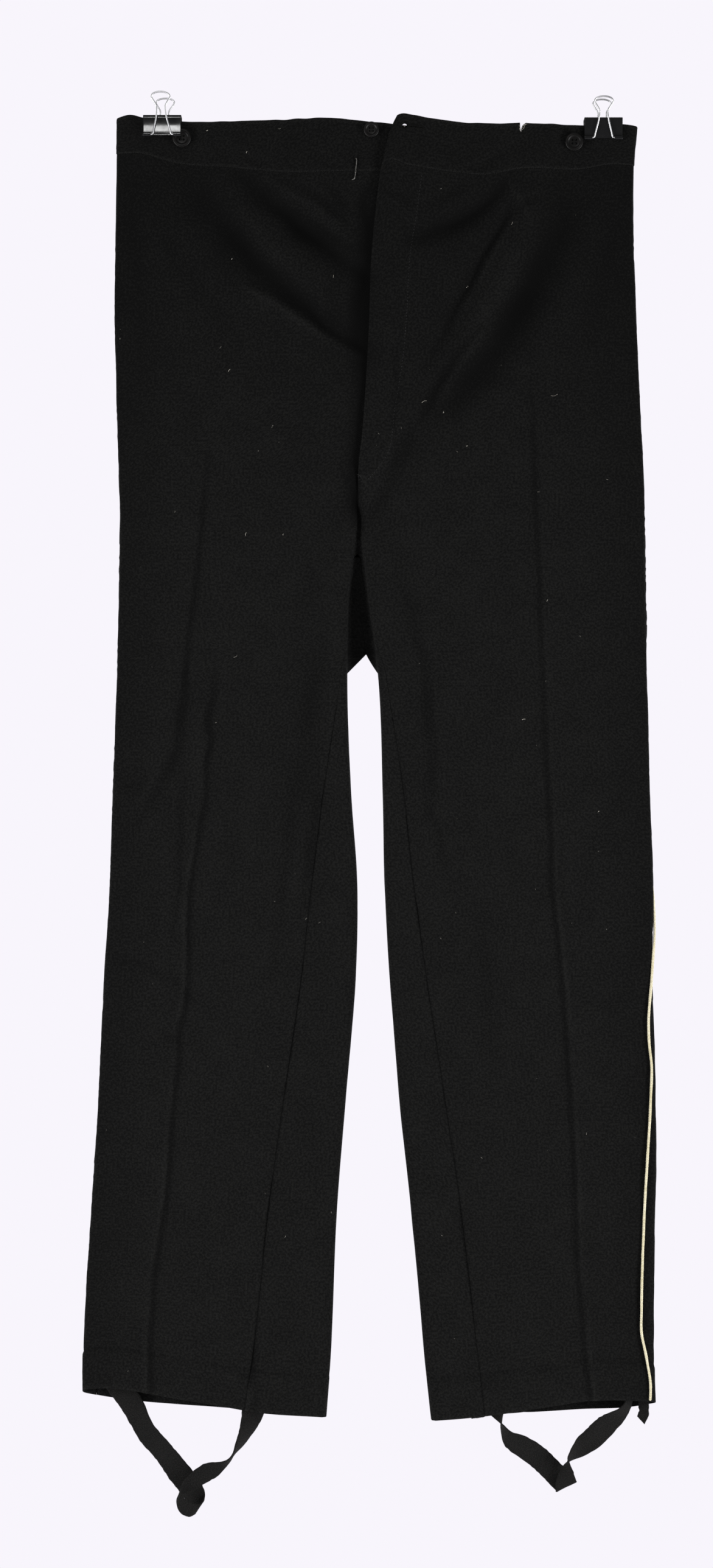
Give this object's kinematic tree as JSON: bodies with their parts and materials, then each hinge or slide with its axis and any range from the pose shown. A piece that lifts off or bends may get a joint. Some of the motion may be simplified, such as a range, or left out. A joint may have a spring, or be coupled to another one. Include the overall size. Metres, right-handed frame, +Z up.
{
  "type": "uniform trousers hung from two spring clips",
  "caption": "Black wool uniform trousers with foot straps and cream side piping, hanging flat by the waistband from spring clips.",
  "frame": {"origin": "midway between the two clips, level with the top edge of the waistband, where the clips hold the cloth", "axes": "+Z up along the length of the legs, +X to the wearer's left, -Y out of the front with the fly"},
  "size_m": [0.4792, 0.0298, 1.1934],
  "materials": {
    "cloth": "black wool serge, matt with a low nap",
    "tape": "brown-black woven tape",
    "cord": "cream corded piping",
    "button": "glossy brown-black",
    "lacquer": "black gloss enamel on spring steel",
    "wire": "bright drawn wire"
  },
  "bodies": {
    "root": {"back_left": "cloth", "back_right": "cloth", "brace_button_left": "button", "brace_button_right": "button", "clip_left": "lacquer", "clip_left_back_wire": "wire", "clip_left_front_wire": "wire", "clip_right": "lacquer", "clip_right_back_wire": "wire", "clip_right_front_wire": "wire", "foot_strap_left": "tape", "foot_strap_right": "tape", "foot_strap_tail_left": "tape", "foot_strap_tip_left": "tape", "front_left": "cloth", "front_right": "cloth", "piping_left": "cord", "piping_right": "cord", "waist_button": "button", "waist_hook": "wire", "waistband_left": "cloth", "waistband_right": "cloth"}
  },
  "joints": []
}
